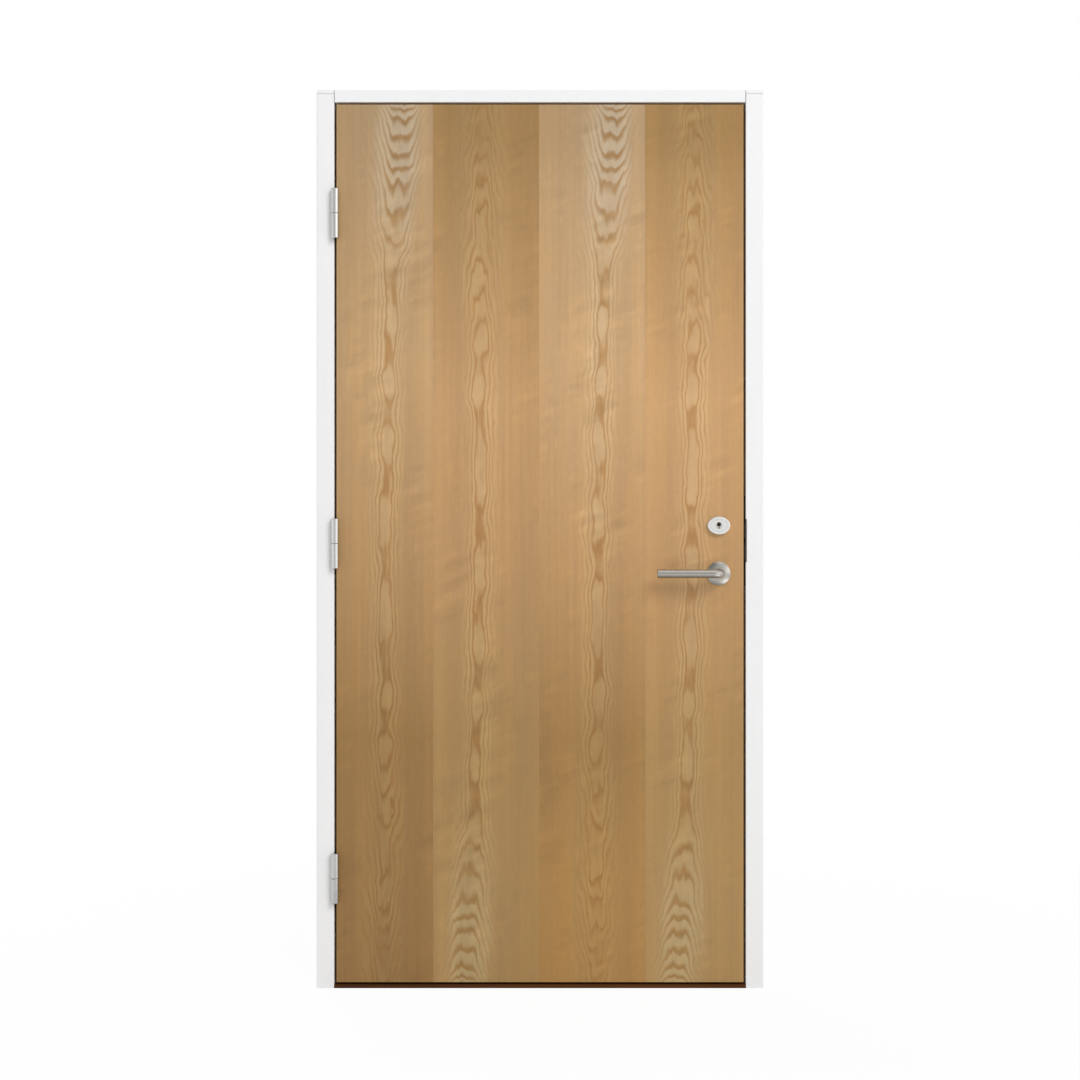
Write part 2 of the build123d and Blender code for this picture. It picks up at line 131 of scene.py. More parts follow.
# %% A node tree that is filled from formulas
class Recipe:
    """Adds nodes to a material's or a world's tree."""

    def __init__(self, owner):
        owner.use_nodes = True
        self.owner, self.tree = owner, owner.node_tree
        self.tree.nodes.clear()

    def node(self, kind, settings=None, inputs=None, out=0):
        """Sets a new node's own settings, then its sockets' values or links, and returns one output."""
        node = self.tree.nodes.new(kind)
        for name, value in (settings or {}).items():
            if name == "stops":
                self.set_stops(node.color_ramp, value)
            elif name == "points":
                self.set_points(node.mapping, value)
            else:
                setattr(node, name, value)
        for name, value in (inputs or {}).items():
            if isinstance(value, Wire):
                self.tree.links.new(value.socket, node.inputs[name])
            else:
                node.inputs[name].default_value = value
        return Wire(self, node.outputs[out]) if node.outputs else node

    @staticmethod
    def set_stops(ramp, stops):
        while len(ramp.elements) < len(stops):
            ramp.elements.new(0.5)
        for element, (place, colour) in zip(ramp.elements, stops):
            element.position = place
            element.color = colour

    @staticmethod
    def set_points(mapping, points):
        curve = mapping.curves[0]
        while len(curve.points) < len(points):
            curve.points.new(0.5, 0.5)
        for point, place in zip(curve.points, points):
            point.location = place
        mapping.update()

    def place(self):
        """The point's X, Y and Z on the door, in metres."""
        coordinates = self.node("ShaderNodeTexCoord", out="Object")
        return [self.node("ShaderNodeSeparateXYZ", inputs={0: coordinates}, out=axis) for axis in range(3)]

    def point(self, x, y, z):
        return self.node("ShaderNodeCombineXYZ", inputs={0: x, 1: y, 2: z})

    def rays(self):
        """Three values that are 1 for a ray from the camera, by way of a mirror, or through something clear."""
        kinds = ("Is Camera Ray", "Is Glossy Ray", "Is Transmission Ray")
        return [self.node("ShaderNodeLightPath", out=kind) for kind in kinds]

    def noise(self, point, scale=1.0, detail=2.0, rough=0.5):
        """Cloudy values about 0, mostly between -0.5 and 0.5."""
        inputs = {"Vector": point, "Scale": scale, "Detail": detail, "Roughness": rough}
        return self.node("ShaderNodeTexNoise", inputs=inputs) - 0.5

    def ramp(self, share, stops):
        """A colour that changes with a share from 0 to 1; each stop is a share and its colour."""
        return self.node("ShaderNodeValToRGB", {"stops": stops}, {0: share})

    def blend(self, share, first, second, mode="MIX"):
        """Mixes two colours."""
        settings = {"data_type": "RGBA", "blend_type": mode}
        return self.node("ShaderNodeMix", settings, {0: share, 6: first, 7: second}, out=2)

    def multiply(self, colour, factor):
        """Multiplies a colour's three parts by one value, or by the parts of another colour."""
        return self.blend(1.0, colour, factor, "MULTIPLY")

    def surface(self, **sockets):
        """The Principled shader; a name such as base_color stands for the socket Base Color."""
        inputs = {name.replace("_", " ").title().replace("Ior", "IOR"): value for name, value in sockets.items()}
        return self.node("ShaderNodeBsdfPrincipled", inputs=inputs, out="BSDF")

    def bump(self, height, depth, strength):
        """Turns a height pattern into a normal; depth is the height in metres of one unit."""
        return self.node("ShaderNodeBump", inputs={"Height": height, "Distance": depth, "Strength": strength})

    def finish(self, shader, output="ShaderNodeOutputMaterial"):
        self.node(output, inputs={"Surface": shader})
        print(self.owner.name, "has", len(self.tree.nodes), "nodes")
        return self.owner


def colour(red, green, blue):
    """A colour as a screen shows it, 0 to 255, turned into the light that Blender computes with."""
    parts = [value / 255 for value in (red, green, blue)]
    linear = [((part + 0.055) / 1.055) ** 2.4 if part > 0.04 else part / 12.92 for part in parts]
    return (*linear, 1.0)


# %% [markdown]
# ## The veneer
# The leaf's face is sliced hardwood, laid as four sheets of veneer that were cut one after another from the same log.
# Where the knife ran close to the heart of the log, the yearly rings come out as nested arches, and beside it as
# straight lines. Every second sheet is turned end for end, so its arches stand at the foot of the door.
#
# A picture of wood could be laid on the door, but it would blur close up and repeat on a wider door. Here the pattern
# is worked out as the knife would find it: one number counts the rings between the heart and a point, and each time
# it passes a whole number there is a dark line. That number is the sum of how far the point lies beside the heart
# line and how far along the sheet it lies, and a little noise makes the arches as jagged as those of real wood.

# %% Measure the leaf and its four sheets
leaf_low, leaf_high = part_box("leaf_front_skin")
leaf_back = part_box("leaf_back_skin")[1].y
leaf_height = leaf_high.z - leaf_low.z
leaf_middle_z = (leaf_high.z + leaf_low.z) / 2
leaf_middle_y = (leaf_low.y + leaf_back) / 2
sheet_width = 0.235
middle_joint = -0.002
print("leaf", round(leaf_high.x - leaf_low.x, 3), "x", round(leaf_height, 3), "m")

# %% [markdown]
# At the arched end each ring is one arch, so the count grows quickly there. In the middle of a sheet the knife only
# grazed one ring. The count therefore swings about a whole number, which strings long drops along the heart line. It
# grows again to the wide arches of the far end.

# %% Say how many rings are passed along a sheet
# Each pair is a distance in metres from the arched end and the rings passed up to there.
arched_end = [(0.000, 0.3), (0.011, 1.0), (0.032, 2.0), (0.073, 3.0), (0.110, 4.0)]
arched_end += [(0.141, 5.0), (0.174, 6.0), (0.237, 7.0), (0.296, 8.0)]
drops = [(0.345, 8.85), (0.385, 9.0), (0.425, 8.98), (0.470, 8.6), (0.530, 8.97), (0.575, 9.02), (0.610, 8.5)]
drops += [(0.665, 8.95), (0.700, 9.0), (0.750, 8.45), (0.820, 8.96), (0.850, 9.0), (0.930, 8.5), (0.990, 8.97)]
drops += [(1.040, 9.0), (1.080, 8.6), (1.160, 8.5), (1.215, 8.98), (1.260, 9.0), (1.310, 8.6), (1.372, 9.05)]
far_end = [(1.420, 8.6), (1.480, 9.3), (1.560, 10.4), (1.640, 11.5), (1.700, 11.9), (1.760, 12.9), (1.850, 14.2)]
far_end += [(1.945, 16.0)]
rings_passed = arched_end + drops + far_end
most_rings = 16.0
ring_points = [(distance / leaf_height, rings / most_rings) for distance, rings in rings_passed]
print(len(rings_passed), "places along the heart line")

# %% [markdown]
# Each point needs its place on its own sheet: how far across from the sheet's middle, and how far along from its
# arched end. On a turned sheet both run the other way. The number of the sheet and the side of the leaf go into the
# third input of the noise. Sheets that lie side by side then look alike, as slices of one log do, but aren't copies.

# %% Find each point's place on its own sheet
veneer = Recipe(bpy.data.materials.new("leaf_veneer"))
x, y, z = veneer.place()
behind = y > leaf_middle_y
number_right_of_joint = 8
sheets_along = (x - middle_joint) / sheet_width + number_right_of_joint
sheet_number = sheets_along.math("FLOOR")
turned = (sheet_number + behind).math("FLOORED_MODULO", 2.0)
turn = 1 - 2 * turned
across = (sheets_along.math("FRACT") - 0.5) * sheet_width * turn
along = leaf_height / 2 - (z - leaf_middle_z) * turn
sheet_height = (z - leaf_low.z) / leaf_height
next_slice, other_side = 0.22, 7.0
slice_depth = sheet_number * next_slice + behind * other_side


def sheet_noise(across_scale, along_scale, detail=2.0, depth=slice_depth, line=along):
    """Noise on a sheet; the larger a scale, the finer the noise is across or along the grain."""
    return veneer.noise(veneer.point(across * across_scale, depth, line * along_scale), detail=detail)


print("sheets of", sheet_width, "m, every second one turned end for end")

# %% [markdown]
# The heart line is where the knife came nearest to the heart of the log. It leans away from the sheet's middle towards
# the arched end and wanders a little. Beside it the count starts flat and turns into a straight rise. The flat part
# rounds the arches like a U, and the rise spaces the straight lines.

# %% Count the rings
heart_aside, heart_lean, lean_fades = 0.009, 0.043, -2.2
heart = heart_aside + heart_lean * (along * lean_fades).math("EXPONENT")
heart = heart + 0.010 * veneer.noise(veneer.point(slice_depth * 0.1, along * 6.0, 0.0))
beside = (across - heart + 0.022 * sheet_noise(24.0, 13.0)).size()
far_along = along.step(0.25, 0.42)
weak_end = along.step(1.35, 1.6)
heart_width = 0.033 - 0.018 * far_along
steepness = 65.0 + 20.0 * far_along - 20.0 * weak_end
rings_beside = steepness * beside**5.0 / (beside**4.0 + heart_width**4.0)
rings_along = veneer.node("ShaderNodeFloatCurve", {"points": ring_points}, {"Value": along / leaf_height})
jagged = sheet_noise(52.0, 15.0, detail=1.5)
drifting = sheet_noise(12.0, 5.0, detail=1.0, depth=slice_depth * 0.5)
feather = sheet_noise(330.0, 7.0, detail=1.0)
raggedness = 1.2 - 0.3 * far_along + 1.2 * weak_end
rings = rings_beside + rings_along * most_rings + raggedness * jagged + 0.8 * drifting + 0.2 * feather
in_ring = rings.math("FRACT")
print("rings run up to", most_rings)

# %% [markdown]
# Within a ring the wood goes from the dense brown of late summer to the pale wood of spring. At the arched end this is
# a sharp line. In the middle of a sheet the knife smeared it, so a plain rise and fall is mixed in. The figure fades
# away from the heart line, and it comes and goes in patches.

# %% Give one ring its tone and say where the figure is strong
ring_greys = [(0.00, 0.0), (0.15, 0.05), (0.28, 0.50), (0.42, 0.92), (0.82, 1.0), (0.94, 0.15)]
sharp_ring = veneer.ramp(in_ring, [(place, (grey, grey, grey, 1)) for place, grey in ring_greys])
soft_ring = 4 * in_ring * (1 - in_ring)
strong_end = along.step(0.36, 0.14)
ring_shape = strong_end * sharp_ring + (1 - strong_end) * (0.45 * sharp_ring + 0.55 * soft_ring)
line_reach = 0.027
line_strength = 0.35 + 0.65 / (1 + (beside / line_reach) ** 4.0)
lit_ring = 1 - line_strength * (1 - ring_shape)
reach = 0.048 - 0.012 * far_along + 0.014 * weak_end - 0.008 * (across > heart)
near_heart = 1 / (1 + (beside / reach) ** 6.0)
patches = sheet_noise(34.0, 9.0)
figure = near_heart * (0.85 + 0.22 * strong_end - 0.25 * weak_end + 1.8 * patches)
figure = figure.math("MAXIMUM", 0.0)
print("the figure is strongest beside the heart line, at the arched end")

# %% [markdown]
# The wood beside the figure isn't plain either. Streaks and broad bands run the whole length of a sheet, and fibres
# and flecks break them up. Ripples slant across the grain where the trunk was compressed, but only in places.


# %% Add what runs through the whole sheet
def light_band(middle, half_width, strength):
    """A lighter band along the whole sheet, at a distance in metres from its middle."""
    return strength / (1 + ((across - middle) / half_width) ** 2.0)


streaks = sheet_noise(130.0, 2.4, detail=3.0)
bands = sheet_noise(24.0, 1.1)
fibres = sheet_noise(650.0, 16.0)
mottle = sheet_noise(90.0, 60.0)
flecks = sheet_noise(260.0, 26.0, depth=slice_depth + 5.0).step(0.08, 0.3)
ripple_line = along + across * 0.35
ripples = sheet_noise(11.0, 44.0, detail=3.0, line=ripple_line)
ripple_place = sheet_noise(13.0, 7.0, depth=slice_depth + 3.0, line=ripple_line).step(-0.02, 0.16)
light_bands = light_band(0.107, 0.012, 0.10) + light_band(-0.047, 0.005, 0.06)
shade = 1 + 0.17 * streaks + 0.18 * bands + 0.12 * fibres + 0.10 * mottle + 0.10 * flecks + light_bands
print("ripples slant across the grain where the trunk was compressed")

# %% [markdown]
# Now the colours. A sheet's tone changes from the foot of the door to its head: lightest a little above the middle and
# darker towards both ends, partly the wood's own tone and partly painted light for the way the light falls off. A
# turned sheet has tones of its own, because the light meets its fibres from the other end. The two right-hand sheets
# are lighter, which is painted light, as the light falls brighter on the right. A ring darkens or lightens this tone
# instead of replacing it, so that streaks and ripples run on through the figure.

# %% Mix the sheets' tones and painted light, from the foot of the door to its head
# Partly painted light: the fall of tone towards the foot and the head stands for light falling off down the door.
upright_stops = [
    (0.04, colour(151, 114, 63)),
    (0.28, colour(152, 115, 62)),
    (0.50, colour(181, 142, 93)),
    (0.70, colour(194, 157, 110)),
    (0.97, colour(172, 142, 102)),
]
turned_stops = [
    (0.04, colour(164, 130, 78)),
    (0.28, colour(162, 127, 75)),
    (0.48, colour(181, 141, 92)),
    (0.66, colour(193, 152, 102)),
    (0.97, colour(157, 122, 72)),
]
tone = veneer.blend(turned, veneer.ramp(sheet_height, upright_stops), veneer.ramp(sheet_height, turned_stops))
tone = veneer.multiply(tone, shade + 0.50 * ripples * ripple_place)
cool, warm = (0.99, 1.0, 1.04, 1), (1.02, 1.0, 0.96, 1)
tone = veneer.multiply(tone, veneer.blend((bands + 0.6 * patches).step(-0.25, 0.25), cool, warm))
# Painted light: the two right-hand sheets are lightened and the left ones darkened a little, because the light falls
# brighter on the right; less so near the head.
left_sheets_shade, right_sheets_light = (0.98, 0.97, 0.96, 1), (1.09, 1.08, 1.10, 1)
right_sheets_light_share = sheet_number.step(6.4, 8.4) * (1 - 0.8 * sheet_height.step(0.90, 0.97))
tone = veneer.multiply(tone, veneer.blend(right_sheets_light_share, left_sheets_shade, right_sheets_light))
# Painted light: the foot of the right-hand upright sheet is lightened further.
lit_upright_foot = right_sheets_light_share * (1 - turned) * sheet_height.step(0.30, 0.08)
tone = veneer.blend(lit_upright_foot, tone, veneer.multiply(tone, (1.23, 1.23, 1.15, 1)))
print(len(upright_stops) + len(turned_stops), "tones from foot to head")

# %% Colour the rings and finish the veneer
dark_part = veneer.blend(turned * strong_end, (0.80, 0.69, 0.50, 1), (0.88, 0.81, 0.65, 1))
pale_part = veneer.blend(strong_end, (1.15, 1.28, 1.50, 1), (1.22, 1.44, 1.92, 1))
ring_colour = veneer.blend(lit_ring, veneer.multiply(tone, dark_part), veneer.multiply(tone, pale_part))
pores = sheet_noise(1500.0, 45.0, detail=1.0).step(-0.32, -0.2)
veneer_material = veneer.finish(
    veneer.surface(
        base_color=veneer.blend(figure, tone, ring_colour),
        roughness=0.5 + 0.1 * streaks,
        coat_weight=0.08,
        coat_roughness=0.3,
        normal=veneer.bump(fibres * 0.6 + pores, 0.05 * MM, 0.5),
    )
)

# %% [markdown]
# ## The painted frame
# The frame is sprayed white on smooth timber. Up close such paint has a faint orange-peel surface and follows the
# grain a little along the boards. A single white would look like plastic, so a fine noise raises the surface by a few
# hundredths of a millimetre, and a long soft one shifts the white by about one part in a hundred. Where the head meets
# the two posts, the white darkens in a hairline along the joint: painted shade for the groove there.

# %% Mix the white paint
paint = Recipe(bpy.data.materials.new("white_paint"))
x, y, z = paint.place()
peel = paint.noise(paint.point(x, y, z), scale=420.0, detail=1.5)
long_grain = paint.noise(paint.point(x * 60.0, y * 60.0, z * 3.0))
post_low, post_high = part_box("lock_jamb")
head_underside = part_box("head")[0].z
# Painted shade: the white is darkened in a hairline along the joints of the head and the posts.
beside_post = (x.size() - post_low.x).size().step(1.3 * MM, 0.5 * MM) * (z > head_underside)
over_post = (z - post_high.z).size().step(0.9 * MM, 0.3 * MM) * (x.size() > post_low.x)
painted_joint_shade = beside_post + 0.5 * over_post
paint_material = paint.finish(
    paint.surface(
        base_color=paint.multiply(colour(243, 243, 243), 1 + 0.02 * long_grain - 0.55 * painted_joint_shade),
        roughness=0.38 + 0.08 * long_grain,
        normal=paint.bump(peel + 0.6 * long_grain, 0.04 * MM, 0.6),
    )
)

# %% [markdown]
# ## Solid timber: threshold, edge strips and core
# The threshold is an oiled dark hardwood whose grain runs along the door's width. The leaf's edge strips are the
# veneer's own timber, with the grain along each strip. The core only shows through the lock's openings. All of them
# are the same idea with other numbers, so one function makes them: noise that is stretched along the grain.

# %% A timber finish for any direction of grain
ALONG_X, ALONG_Z = 0, 2


def timber(name, dark, light, grain_axis, line_scale=160.0, roughness=0.5, sheen=0.5):
    """Timber whose long fibres run along one axis."""
    recipe = Recipe(bpy.data.materials.new(name))
    fibre_length = 45.0
    stretch = [line_scale, line_scale, line_scale]
    stretch[grain_axis] = line_scale / fibre_length
    place = [axis * factor for axis, factor in zip(recipe.place(), stretch)]
    lines = recipe.noise(recipe.point(*place), detail=4.0, rough=0.6)
    broad = recipe.noise(recipe.point(*[part * 0.13 for part in place]))
    share = (lines * 0.9 + broad * 1.4 + 0.5).step(0.0, 1.0)
    return recipe.finish(
        recipe.surface(
            base_color=recipe.blend(share, dark, light),
            roughness=roughness + 0.12 * lines,
            specular_ior_level=sheen,
            normal=recipe.bump(lines, 0.08 * MM, 0.5),
        )
    )


# %% Make the four timbers
oiled = {"line_scale": 150.0, "roughness": 0.68, "sheen": 0.2}
threshold_material = timber("threshold_hardwood", colour(54, 28, 8), colour(94, 54, 20), ALONG_X, **oiled)
edge_dark, edge_light = colour(168, 128, 82), colour(208, 172, 126)
upright_edge_material = timber("edge_timber_upright", edge_dark, edge_light, ALONG_Z)
level_edge_material = timber("edge_timber_level", edge_dark, edge_light, ALONG_X)
board = {"line_scale": 400.0, "roughness": 0.8}
core_material = timber("core_boards", colour(120, 98, 70), colour(168, 142, 106), ALONG_X, **board)

# %% [markdown]
# ## Satin steel and rubber
# The hinges, the lever, the rose, the ring and the lock plates are brushed stainless steel. Brushing leaves fine
# lines, and these spread a highlight across them. Real grooves would need millions of faces, so the lines are a noise
# that is stretched along the brushing and feeds the roughness and a very shallow bump.


# %% Brush the steel along an axis
def satin_steel(name, brush_axis, roughness, tint):
    """Steel with fine lines along one axis."""
    recipe = Recipe(bpy.data.materials.new(name))
    across_lines, along_lines = 2600.0, 90.0
    stretch = [across_lines, across_lines, across_lines]
    stretch[brush_axis] = along_lines
    place = [axis * factor for axis, factor in zip(recipe.place(), stretch)]
    lines = recipe.noise(recipe.point(*place))
    cloud = recipe.noise(recipe.point(*recipe.place()), scale=70.0)
    return recipe.finish(
        recipe.surface(
            base_color=recipe.multiply(colour(*tint), 1 + 0.10 * lines + 0.05 * cloud),
            metallic=1.0,
            roughness=roughness + 0.10 * lines + 0.05 * cloud,
            normal=recipe.bump(lines, 0.02 * MM, 0.35),
        )
    )


steel_along_x = satin_steel("satin_steel_along_x", ALONG_X, 0.28, (172, 169, 162))
steel_along_z = satin_steel("satin_steel_along_z", ALONG_Z, 0.30, (176, 173, 166))
hinge_steel = satin_steel("hinge_steel", ALONG_Z, 0.26, (198, 198, 196))
# Partly painted light: bright_steel is a lighter copy of the satin steel, partly a brighter finish and partly the
# brightness of the lit faces of the rings and the keys.
bright_steel = satin_steel("bright_steel", ALONG_Z, 0.42, (236, 236, 234))
# Painted shade: a darker copy of the satin steel, for the strike plate that is seen down in the shaded gap and for the
# pin below the key slot.
shaded_steel = satin_steel("shaded_steel", ALONG_Z, 0.40, (132, 127, 118))

# %% [markdown]
# The seals are black rubber, hollow and soft. New rubber would be evenly black, but a bloom of wax comes to its
# surface in time, so a long cloudy noise greys it and makes it duller.

# %% Rubber for the seals
rubber = Recipe(bpy.data.materials.new("bulb_seal"))
x, y, z = rubber.place()
bloom = rubber.noise(rubber.point(x * 90.0, y * 90.0, z * 30.0), detail=3.0)
rubber_material = rubber.finish(
    rubber.surface(
        base_color=rubber.multiply(colour(34, 33, 32), 1 + 0.5 * bloom),
        roughness=0.62 + 0.15 * bloom,
        normal=rubber.bump(bloom, 0.05 * MM, 0.4),
    )
)

# %% [markdown]
# ## Handing out the finishes
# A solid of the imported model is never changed, but its material slots may be. Each name in the table below is a solid
# or the beginning of its name, and the longest name that fits a solid wins.

# %% Give every solid its finish
finish_of = {
    "": steel_along_x,
    "hinge_jamb": paint_material,
    "lock_jamb": paint_material,
    "head": paint_material,
    "threshold": threshold_material,
    "hinge_jamb_seal": rubber_material,
    "lock_jamb_seal": rubber_material,
    "head_seal": rubber_material,
    "threshold_seal": rubber_material,
    "leaf": veneer_material,
    "hinge_stile": upright_edge_material,
    "lock_stile": upright_edge_material,
    "top_rail": level_edge_material,
    "bottom_rail": level_edge_material,
    "acoustic_core": core_material,
    "hinge_frame_half": hinge_steel,
    "hinge_leaf_half": hinge_steel,
    "hinge_pin": steel_along_z,
    "strike_plate": shaded_steel,
    "lock_forend": steel_along_z,
    "front_cylinder_ring": bright_steel,
    "back_cylinder_ring": bright_steel,
    "front_key": bright_steel,
    "back_key": bright_steel,
}
for name, solid in nodes.items():
    best = max((start for start in finish_of if name.startswith(start)), key=len)
    solid.data.materials.clear()
    solid.data.materials.append(finish_of[best])
print(len(nodes), "solids have their finish")

# %% [markdown]
# ## Screws, fixings and key plugs
# Three kinds of small hardware are too fine for the solids. Countersunk screws with a star-shaped drive hold the hinge
# plates, the lock's front plate and the strike plate. Adjustable sleeves with a screw inside hold the frame in its
# wall. The key plugs have a round funnel that leads the key into a waving slot.
#
# All of these are turned or pressed about an axis, so they could be spun from a profile, but a star, a hexagon and a
# slot aren't round. Here a flat grid is wrapped round the axis instead. Each row of the grid becomes one ring, with
# an outline and a height of its own, and the seam where the grid's two ends meet is merged.


# %% Outlines of rings, in millimetres
def circle(radius, rise=0.0):
    """Round, with its middle lifted by rise."""
    return lambda turn: (radius * cos(turn), radius * sin(turn) + rise)


def star(radius, lobe):
    """Six rounded points."""

    def outline(turn):
        reach = radius + lobe * cos(6 * turn)
        return reach * cos(turn), reach * sin(turn)

    return outline


def hexagon(half_across):
    """Six flat sides, each half_across from the middle."""

    def outline(turn):
        reach = half_across / cos(turn % radians(60) - radians(30))
        return reach * cos(turn), reach * sin(turn)

    return outline


def keyway(half_width, half_height, wave, rise):
    """A tall slot whose two sides wave together, as the grooves of a key ask."""

    def outline(turn):
        height = half_height * sin(turn)
        side = copysign(half_width, cos(turn)) * min(1.0, 4 * abs(cos(turn)))
        return side + wave * sin(4.5 * sin(turn)), height + rise

    return outline


print("the drive's points reach", [round(part, 2) for part in star(2.3, 0.35)(0.0)], "mm from its middle")


# %% Wrap a grid into a stack of rings
def stacked(rings, segments):
    """A closed mesh of rings, each an outline and a height in millimetres; the last may equal the first."""
    shape = bmesh.new()
    rows = len(rings) - 1
    half = 0.5
    bmesh.ops.create_grid(shape, x_segments=segments, y_segments=rows, size=half)
    for vertex in shape.verts:
        turn = (vertex.co.x + half) * radians(360)
        outline, height = rings[round((vertex.co.y + half) * rows)]
        vertex.co = Vector((*outline(turn), height)) * MM
    bmesh.ops.remove_doubles(shape, verts=shape.verts, dist=0.001 * MM)
    bmesh.ops.holes_fill(shape, edges=[edge for edge in shape.edges if edge.is_boundary], sides=0)
    bmesh.ops.recalc_face_normals(shape, faces=shape.faces)
    pattern = bpy.data.meshes.new("pattern")
    shape.to_mesh(pattern)
    shape.free()
    return pattern


# %% Set copies of a pattern on the door
def set_copies(name, pattern, spots, material, body):
    """Joins copies of a pattern into one piece; a spot is a place in metres and the way that the copy faces."""
    shape = bmesh.new()
    for place, facing in spots:
        before = set(shape.verts)
        shape.from_mesh(pattern)
        added = [vertex for vertex in shape.verts if vertex not in before]
        turn = Vector(facing).to_track_quat("Z", "Y").to_matrix().to_4x4()
        bmesh.ops.transform(shape, matrix=Matrix.Translation(place) @ turn, verts=added)
    for face in shape.faces:
        face.smooth = True
    mesh = bpy.data.meshes.new(name)
    shape.to_mesh(mesh)
    shape.free()
    mesh.set_sharp_from_angle(angle=radians(28))
    mesh.materials.append(material)
    piece = bpy.data.objects.new(name, mesh)
    bpy.context.scene.collection.objects.link(piece)
    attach(piece, body)
    print(name, "has", len(spots), "copies and", len(mesh.polygons), "faces")
    return piece


# %% [markdown]
# The solids already have the countersunk holes, so every screw's place can be worked out from the box of the plate that
# it holds. A hinge has three screws in each of its plates, and the strike plate and the lock's front plate have two.

# %% Find the screws' places
pin_foot_to_middle = 46 * MM
hinge_screw_step = 30 * MM
hinge_screw_line = front_face + 17 * MM
hinge_middles = [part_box(f"hinge_pin_{place}")[0].z + pin_foot_to_middle for place in ("bottom", "middle", "top")]
hinge_screw_heights = [middle + step * hinge_screw_step for middle in hinge_middles for step in (-1, 0, 1)]
lock_line = (front_face + leaf_back) / 2
strike_low, strike_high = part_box("strike_plate")
forend_low, forend_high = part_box("lock_forend")
strike_inset, forend_inset = 14 * MM, 13 * MM
strike_heights = (strike_low.z + strike_inset, strike_high.z - strike_inset)
forend_heights = (forend_low.z + forend_inset, forend_high.z - forend_inset)
print(len(hinge_screw_heights), "screws down the hinge side, at", round(hinge_screw_line, 3), "m")

# %% [markdown]
# A countersunk head sits a hair below the plate's face. Its rings run from the narrow end of the cone up to the rim,
# then inwards over the flat top and down into the drive.

# %% Make the screws
screw_rings = [
    (circle(1.8), -2.45),
    (circle(2.45), -2.4),
    (circle(4.15), -0.34),
    (circle(4.15), -0.16),
    (circle(3.95), -0.07),
    (star(2.35, 0.38), -0.07),
    (star(2.25, 0.36), -0.22),
    (star(2.1, 0.34), -1.6),
    (circle(0.6), -1.9),
]
screw = stacked(screw_rings, 36)
to_right, to_left = (1, 0, 0), (-1, 0, 0)
frame_spots = [((-post_low.x, hinge_screw_line, height), to_right) for height in hinge_screw_heights]
leaf_spots = [((leaf_low.x, hinge_screw_line, height), to_left) for height in hinge_screw_heights]
strike_spots = [((strike_low.x, lock_line, height), to_left) for height in strike_heights]
forend_spots = [((forend_high.x, lock_line, height), to_right) for height in forend_heights]
set_copies("hinge_screws_in_frame", screw, frame_spots, steel_along_z, "frame")
set_copies("hinge_screws_in_leaf", screw, leaf_spots, steel_along_z, "leaf")
set_copies("strike_screws", screw, strike_spots, steel_along_z, "frame")
set_copies("forend_screws", screw, forend_spots, steel_along_z, "leaf")

# %% [markdown]
# A fixing sleeve is a threaded tube that the fitter turns with a hexagon key until it bears on the wall. The screw
# through it then holds the frame. The sleeve's rings run down the outside and back up the hexagonal bore, and the last
# ring is the first again, which closes the tube.

# %% Make the fixing sleeves
sleeve_rings = [
    (circle(6.3), -2.5),
    (circle(6.85), -3.0),
    (circle(6.85), -34.0),
    (circle(5.9), -34.5),
    (hexagon(4.95), -34.0),
    (hexagon(4.95), -3.3),
    (circle(5.8), -2.5),
    (circle(6.3), -2.5),
]
sleeve = stacked(sleeve_rings, 48)
fixing_line = front_face + 26 * MM
fixing_heights = [height * MM for height in (110, 610, 1350, 1850)]
screw_depth = 13 * MM
sleeve_spots = [
    ((side * post_low.x, fixing_line, height), (-side, 0, 0)) for side in (-1, 1) for height in fixing_heights
]
sunk_spots = [((place[0] - facing[0] * screw_depth, *place[1:]), facing) for place, facing in sleeve_spots]
set_copies("fixing_sleeves", sleeve, sleeve_spots, steel_along_z, "frame")
set_copies("fixing_screws", screw, sunk_spots, steel_along_z, "frame")

# %% [markdown]
# ## The key plugs
# The plug is the part that turns with the key. It is bright on its face, and its metal darkens with the depth behind
# the face: painted shade in the funnel and the slot. A small hardened pin against drilling shows below the slot.

# %% Give the plugs their metal
plug_low, plug_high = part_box("front_key_plug")
plug_reach = leaf_middle_y - plug_low.y
plug_recipe = Recipe(bpy.data.materials.new("plug_metal"))
x, y, z = plug_recipe.place()
depth = plug_reach - (y - leaf_middle_y).size()
# Painted shade: the metal darkens with the depth behind the plug's face.
painted_recess_shade = depth.step(0.2 * MM, 1.6 * MM)
turning = plug_recipe.noise(plug_recipe.point(x, y, z), scale=1500.0)
bright_face = plug_recipe.multiply(colour(222, 220, 214), 1 + 0.12 * turning)
plug_metal = plug_recipe.finish(
    plug_recipe.surface(
        base_color=plug_recipe.blend(painted_recess_shade, bright_face, colour(74, 64, 50)),
        metallic=1 - 0.6 * painted_recess_shade,
        roughness=0.38 + 0.1 * turning + 0.2 * painted_recess_shade,
        normal=plug_recipe.bump(turning, 0.01 * MM, 0.4),
    )
)

# %% [markdown]
# The plug's rings run up its outside, over the rim of the face and down the funnel, where the round outline gives way
# to the slot. The finished plug replaces the plain solid and turns with the same body.

